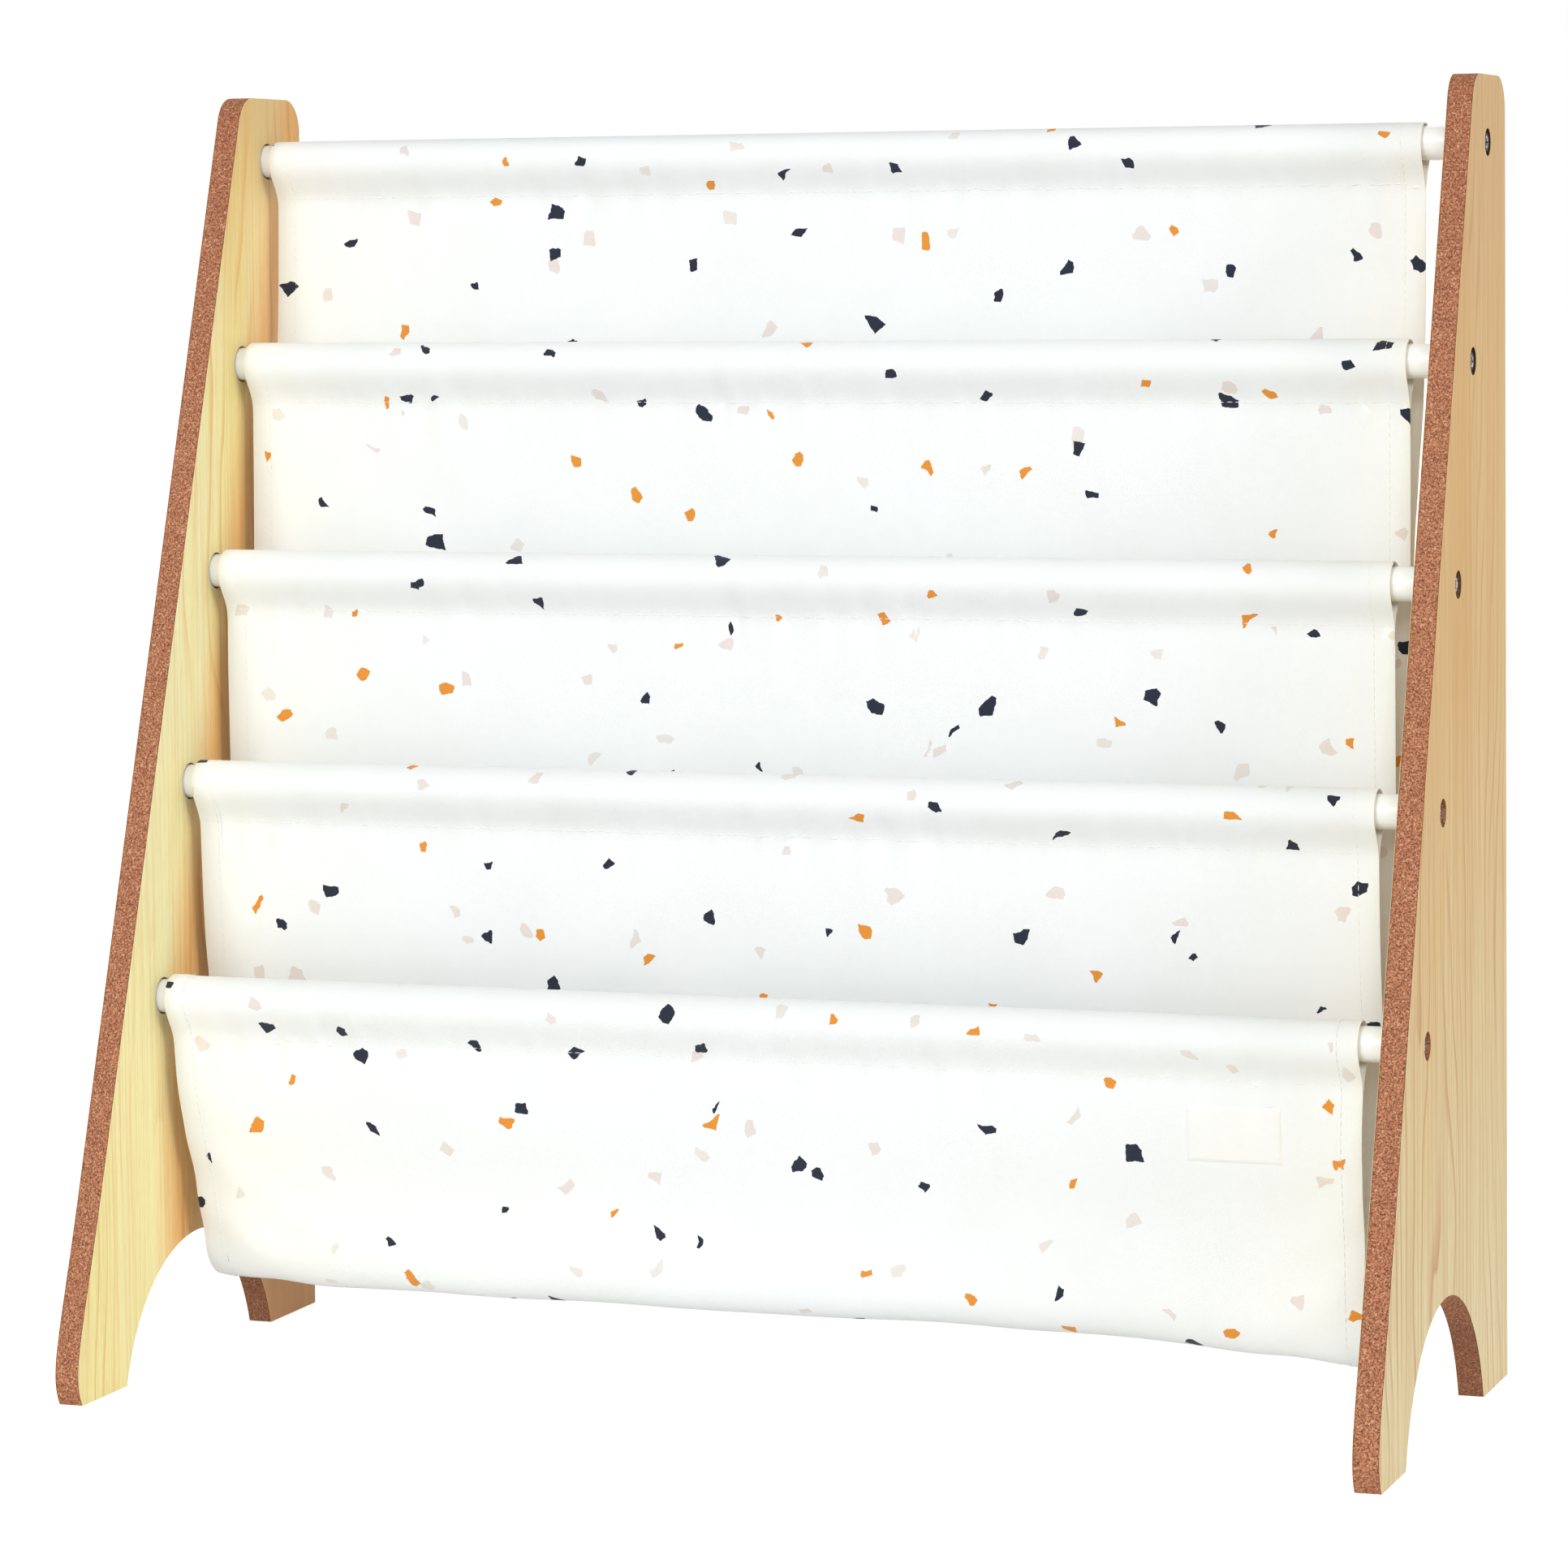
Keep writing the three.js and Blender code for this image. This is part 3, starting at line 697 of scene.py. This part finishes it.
def canvas_finish():
    """Off-white plain weave, printed with chips in navy, ochre and pale pink-beige."""
    material, shader, tree = finish("printed_canvas", 0.92, Specular_IOR_Level=0.15, Sheen_Weight=0.12,
                                    Sheen_Roughness=0.6)
    flat = tree.node("ShaderNodeUVMap", {"uv_map": "flat"})
    place = flat
    for cells, reach in ((75.0, 0.006), (330.0, 0.0016)):
        sway = flat.node("ShaderNodeTexNoise", None, {"Vector": flat, "Scale": cells, "Detail": 1.0},
                         output="Color").scaled(reach, reach, 0.0)
        place = place.node("ShaderNodeVectorMath", {"operation": "ADD"}, {0: place, 1: sway})

    mottle = flat.noise(22.0, 3.0)
    colour = mottle.ramp(0.3, 0.7).between(paint(247, 250, 250), paint(244, 247, 246))
    for spacing, size, shift, dark_share, bright_share in CHIP_LAYERS:
        mask, chance = chips(place, spacing, size, shift)
        pick = chance.part(0)
        pale = (chance.part(2) > 0.5).between(paint(233, 229, 223), paint(232, 223, 218))
        bright = (pick < dark_share + bright_share).between(pale, paint(231, 149, 56))
        colour = mask.between(colour, (pick < dark_share).between(bright, paint(42, 47, 62)))
    feed(shader, "Base Color", colour)

    turns = 2 * math.pi / WEAVE_PITCH
    warp = flat.math("SINE", flat.part(0) * turns)
    weft = flat.math("SINE", flat.part(1) * turns)
    slub = flat.scaled(60.0, 900.0, 0.0).noise(1.0, 2.0)
    feed(shader, "Normal", bump(warp * weft * 0.5 + slub * 0.5, 0.00012, 0.35))
    return material


canvas = canvas_finish()
sling = bpy.data.objects.new("sling", sling_mesh())
sling.data.materials.append(canvas)
bpy.context.scene.collection.objects.link(sling)
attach(sling, "root")
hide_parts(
    *[f"sling_sleeve_{number}" for number in range(1, TUBE_COUNT + 1)],
    *[f"sling_pocket_{number}" for number in range(1, TUBE_COUNT)],
)


# The seams are sewn with off-white polyester thread in a lockstitch that shows on both sides: one row
# below each tube through both layers, and one row along each hem.
STITCH_LENGTH = 0.0030
STITCH_PITCH = 0.0040
THREAD_RADIUS = 0.00020
STITCH_LIFT = 0.00004
HEM_STITCH_SHARE = 0.88


def stitches(points, ahead_points, face):
    """Short threads with pointed ends, one for each point: rings of a tube whose radius is a half sine.

    points and ahead_points are the thread's two ends, and face is the direction that it lies proud of.
    """
    ring_share = np.linspace(0, 1, 5)
    turn = np.linspace(0, 2 * math.pi, 6, endpoint=False)
    along = ahead_points - points
    side = np.cross(along, face)
    side /= np.linalg.norm(side, axis=1)[:, None]
    middle = points[:, None, :] + ring_share[None, :, None] * along[:, None, :]
    radius = THREAD_RADIUS * (0.25 + 0.75 * np.sin(math.pi * ring_share))
    circle = np.cos(turn)[None, None, :, None] * side[:, None, None, :]
    circle = circle + np.sin(turn)[None, None, :, None] * face[:, None, None, :]
    return middle[:, :, None, :] + radius[None, :, None, None] * circle


def face_at(along):
    """The cloth's face direction at a length along the sling."""
    face = np.stack([np.interp(along, row_lengths, row_face[:, part]) for part in (0, 1)], axis=-1)
    return np.concatenate((np.zeros((len(face), 1)), face), axis=1)


def thread_mesh(name, rows):
    """One mesh from rows of stitches: each ring is joined to the next, and both ends are closed."""
    rings = np.concatenate(rows)
    count, ring_count, sides = rings.shape[:3]
    corner = np.arange(count * ring_count * sides).reshape(count, ring_count, sides)
    after = np.roll(corner, -1, axis=2)
    quads = np.stack((corner[:, :-1], after[:, :-1], after[:, 1:], corner[:, 1:]), axis=-1).reshape(-1, 4)
    mesh = bpy.data.meshes.new(name)
    caps = corner[:, 0, ::-1].tolist() + corner[:, -1].tolist()
    mesh.from_pydata(rings.reshape(-1, 3), [], quads.tolist() + caps)
    shape = bmesh.new()
    shape.from_mesh(mesh)
    bmesh.ops.recalc_face_normals(shape, faces=shape.faces)
    shape.to_mesh(mesh)
    shape.free()
    mesh.shade_smooth()
    return mesh


def seam_rows():
    """Stitches across the cloth at each tube's seam, on the outside of both layers."""
    across = np.arange(cloth_left + 0.002, cloth_right - 0.005, STITCH_PITCH)
    for behind, infront in seam_lengths:
        for along in (behind, infront):
            mark = np.full(len(across), along)
            yield stitches(on_cloth(mark, across, STITCH_LIFT),
                           on_cloth(mark, across + STITCH_LENGTH, STITCH_LIFT), face_at(mark))


def hem_rows():
    """Stitches along both hems, on both sides of the cloth."""
    along = np.arange(0.003, sling_length - 0.006, STITCH_PITCH)
    from_side = HEM_WIDTH * HEM_STITCH_SHARE
    for across in (cloth_left + from_side, cloth_right - from_side):
        for lift, sign in ((STITCH_LIFT, 1.0), (-2 * HEM_FOLD - STITCH_LIFT, -1.0)):
            line = np.full(len(along), across)
            yield stitches(on_cloth(along, line, lift), on_cloth(along + STITCH_LENGTH, line, lift),
                           sign * face_at(along))


def thread_finish():
    """Twisted polyester: fine slanting plies on an off-white thread."""
    material, shader, tree = finish("sewing_thread", 0.6, Sheen_Weight=0.2)
    place = tree.node("ShaderNodeTexCoord", output="Object")
    twist = place.noise(3500.0, 1.0)
    feed(shader, "Base Color", twist.between(paint(236, 234, 224), paint(247, 246, 238)))
    feed(shader, "Normal", bump(twist, 0.00008))
    return material


thread = thread_finish()
for name, rows in (("seam_stitching", seam_rows()), ("hem_stitching", hem_rows())):
    stitching = bpy.data.objects.new(name, thread_mesh(name, list(rows)))
    stitching.data.materials.append(thread)
    bpy.context.scene.collection.objects.link(stitching)
    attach(stitching, "root")


# A small woven label is sewn to the lowest pocket's front, near its right end. It is bare: a smooth
# white tape with its edges turned under.
LABEL_WIDTH = 0.044
LABEL_HEIGHT = 0.026
LABEL_BELOW_SEAM = 0.009
LABEL_FROM_EDGE = 0.037
LABEL_LIFT = 0.0005
LABEL_RIM_LIFT = 0.00005
LABEL_CORNER = 0.0004
LABEL_GRID = (15, 25)
LABEL_RIB_RADIANS = 9000.0


def label_mesh():
    """A tape that follows the pocket's front wall, with its rim turned down to the cloth."""
    end = seam_lengths[-1][0] - SEAM_ALLOWANCE - POCKET_GAP - LABEL_BELOW_SEAM
    start = end - LABEL_HEIGHT
    right = cloth_right - LABEL_FROM_EDGE
    left = right - LABEL_WIDTH
    rows, columns = LABEL_GRID
    inner_rows = np.linspace(start + LABEL_CORNER, end - LABEL_CORNER, rows)
    inner_columns = np.linspace(left + LABEL_CORNER, right - LABEL_CORNER, columns)
    along = np.concatenate(([start], inner_rows, [end]))
    across = np.concatenate(([left], inner_columns, [right]))
    lift = np.pad(np.full((rows, columns), -LABEL_LIFT), 1, constant_values=-LABEL_RIM_LIFT)
    return grid_mesh("label", on_cloth(along[:, None], across[None, :], lift)[::-1])


def label_finish():
    """Satin-woven white tape: fine ribs across it."""
    material, shader, tree = finish("label_tape", 0.55, Sheen_Weight=0.2)
    place = tree.node("ShaderNodeTexCoord", output="Object")
    rib = place.math("SINE", place.part(2) * LABEL_RIB_RADIANS)
    cloud = place.noise(120.0, 2.0)
    feed(shader, "Base Color", cloud.between(paint(250, 251, 248), paint(246, 247, 244)))
    feed(shader, "Normal", bump(rib * 0.5 + cloud, 0.00006, 0.5))
    return material


label = bpy.data.objects.new("label", label_mesh())
label.data.materials.append(label_finish())
bpy.context.scene.collection.objects.link(label)
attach(label, "root")
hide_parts("sling_label")
